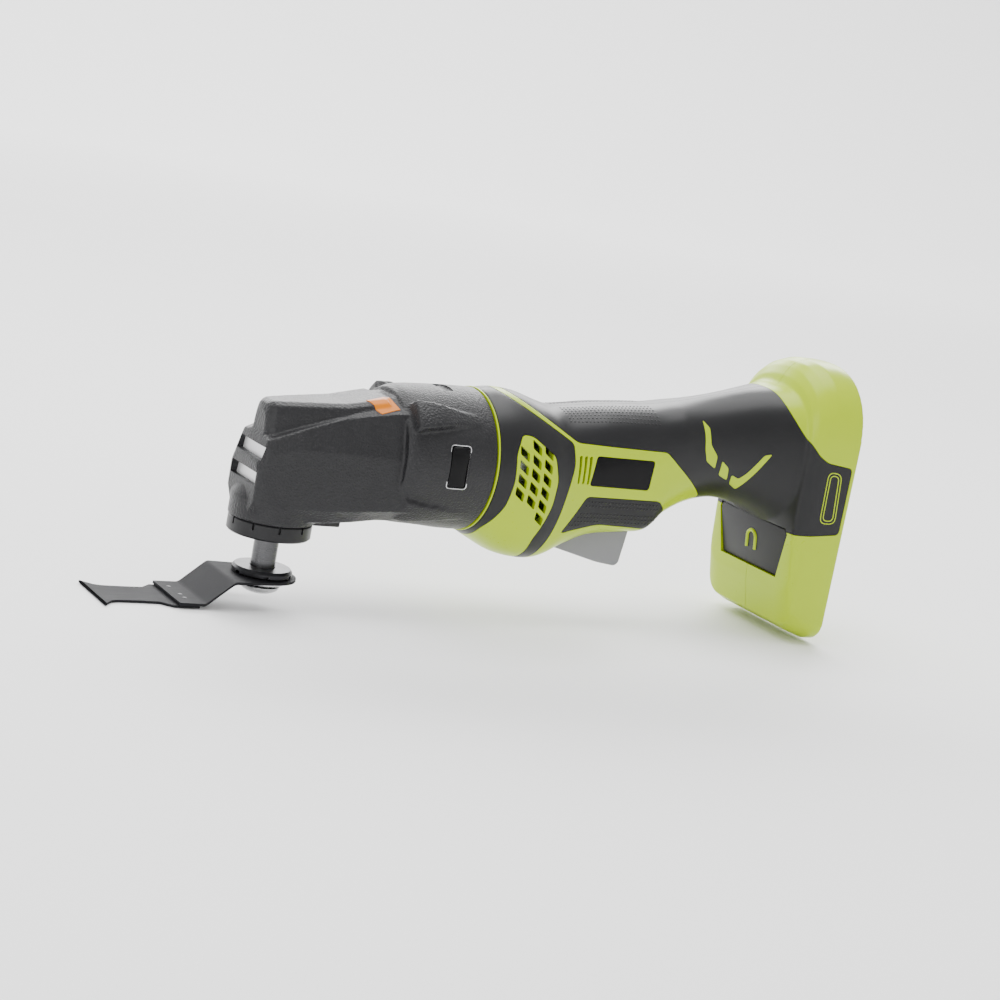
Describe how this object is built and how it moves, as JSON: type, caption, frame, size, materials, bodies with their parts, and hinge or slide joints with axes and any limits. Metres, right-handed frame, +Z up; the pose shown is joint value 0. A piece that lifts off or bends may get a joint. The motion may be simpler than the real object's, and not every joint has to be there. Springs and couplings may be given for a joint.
{
  "type": "oscillating multi tool",
  "caption": "Cordless oscillating multi tool without its battery pack: detachable black head with cranked cutting blade, lime and black handle, squeeze trigger and battery foot.",
  "frame": {"origin": "middle of the tool's outer box at its lowest level", "axes": "+X along the tool from the head to the battery foot, +Y to the tool's left, +Z up along the spindle"},
  "size_m": [0.388, 0.08, 0.1444],
  "materials": {
    "lime_shell": "semi-gloss moulded plastic",
    "soft_grip": "satin moulded rubber",
    "textured_pad": "dotted matt rubber",
    "black_plastic": "satin moulded plastic",
    "pebbled_black": "pebbled moulded plastic",
    "grey_plastic": "satin moulded plastic",
    "bright_steel": "ground steel",
    "dark_steel": "blackened steel",
    "cast_alloy": "machined casting",
    "copper": "bright contact metal",
    "board": "coated circuit board",
    "orange_film": "printed film, left blank",
    "lamp_lens": "clear lens"
  },
  "bodies": {
    "base": {"base_shell_left": "lime_shell", "base_shell_right": "lime_shell", "front_grip_left": "soft_grip", "front_grip_right": "soft_grip", "handle_grip_left": "soft_grip", "handle_grip_right": "soft_grip", "side_pad_left": "textured_pad", "side_pad_right": "textured_pad", "name_plate_left": "black_plastic", "name_plate_right": "black_plastic", "case_screw_1": "dark_steel", "case_screw_2": "dark_steel", "case_screw_3": "dark_steel", "case_screw_4": "dark_steel", "trim_ring": "lime_shell", "magnet_tray": "black_plastic", "tray_magnet": "dark_steel", "trigger_pin": "bright_steel", "switch_body": "black_plastic", "trigger_spring": "bright_steel", "motor_can": "bright_steel", "motor_end_cap": "black_plastic", "motor_front_bearing": "bright_steel", "motor_rear_bearing": "bright_steel", "motor_plate": "bright_steel", "control_board": "board", "terminal_block": "black_plastic", "terminal_positive": "copper", "terminal_negative": "copper"},
    "trigger": {"trigger": "grey_plastic"},
    "switch_plunger": {"switch_plunger": "grey_plastic"},
    "rotor": {"rotor_core": "dark_steel", "rotor_shaft": "bright_steel", "commutator": "copper", "motor_fan": "black_plastic", "coupling_hub": "dark_steel"},
    "head": {"head_cover": "pebbled_black", "gear_case": "cast_alloy", "gear_case_front": "cast_alloy", "nose_collar": "black_plastic", "head_lamp": "lamp_lens", "top_label": "orange_film", "head_back_plate": "dark_steel", "drive_front_bearing": "bright_steel", "spindle_lower_bearing": "bright_steel", "spindle_upper_bearing": "bright_steel", "latch_spring_left": "bright_steel", "latch_spring_right": "bright_steel"},
    "drive_shaft": {"drive_shaft": "bright_steel", "eccentric_bearing": "bright_steel", "coupling_socket": "dark_steel"},
    "spindle": {"spindle": "bright_steel", "upper_flange": "bright_steel", "drive_fork": "dark_steel"},
    "blade": {"blade_carrier": "dark_steel", "blade_tip": "dark_steel"},
    "clamp": {"clamp_screw": "bright_steel", "clamp_washer": "bright_steel"},
    "latch_left": {"latch_button_left": "black_plastic"},
    "latch_right": {"latch_button_right": "black_plastic"}
  },
  "joints": [
    {"name": "trigger_squeeze", "type": "hinge", "parent": "base", "child": "trigger", "pos_m": [0.0415, 0, 0.0484], "axis": [0, -1, 0], "range_deg": [0, 7], "stiffness_Nm_per_rad": 1.5, "springref_deg": -3.44, "deforming": ["trigger_spring"]},
    {"name": "plunger_push", "type": "slide", "parent": "base", "child": "switch_plunger", "axis": [0, 0, 1], "range_m": [0, 0.0042]},
    {"name": "motor_spin", "type": "hinge", "parent": "base", "child": "rotor", "pos_m": [0.023, 0, 0.0768], "axis": [1, 0, 0], "continuous": true},
    {"name": "head_release", "type": "slide", "parent": "base", "child": "head", "axis": [-1, 0, 0], "range_m": [0, 0.026]},
    {"name": "drive_spin", "type": "hinge", "parent": "head", "child": "drive_shaft", "pos_m": [-0.052, 0, 0.0768], "axis": [1, 0, 0], "continuous": true},
    {"name": "spindle_swing", "type": "hinge", "parent": "head", "child": "spindle", "pos_m": [-0.112, 0, 0.0174], "axis": [0, 0, 1], "range_deg": [-1.6, 1.6]},
    {"name": "clamp_release", "type": "slide", "parent": "spindle", "child": "clamp", "axis": [0, 0, -1], "range_m": [0, 0.016]},
    {"name": "blade_release", "type": "slide", "parent": "spindle", "child": "blade", "axis": [0, 0, -1], "range_m": [0, 0.008]},
    {"name": "latch_left_press", "type": "slide", "parent": "head", "child": "latch_left", "axis": [0, -1, 0], "range_m": [0, 0.0025], "stiffness_N_per_m": 900, "springref_m": -0.002, "deforming": ["latch_spring_left"]},
    {"name": "latch_right_press", "type": "slide", "parent": "head", "child": "latch_right", "axis": [0, 1, 0], "range_m": [0, 0.0025], "stiffness_N_per_m": 900, "springref_m": -0.002, "deforming": ["latch_spring_right"]}
  ],
  "couplings": [
    {"joint": "plunger_push", "follows": "trigger_squeeze", "m_per_rad": 0.0335},
    {"joint": "drive_spin", "follows": "motor_spin", "ratio": 1},
    {"joint": "blade_release", "follows": "clamp_release", "ratio": 0.5}
  ]
}
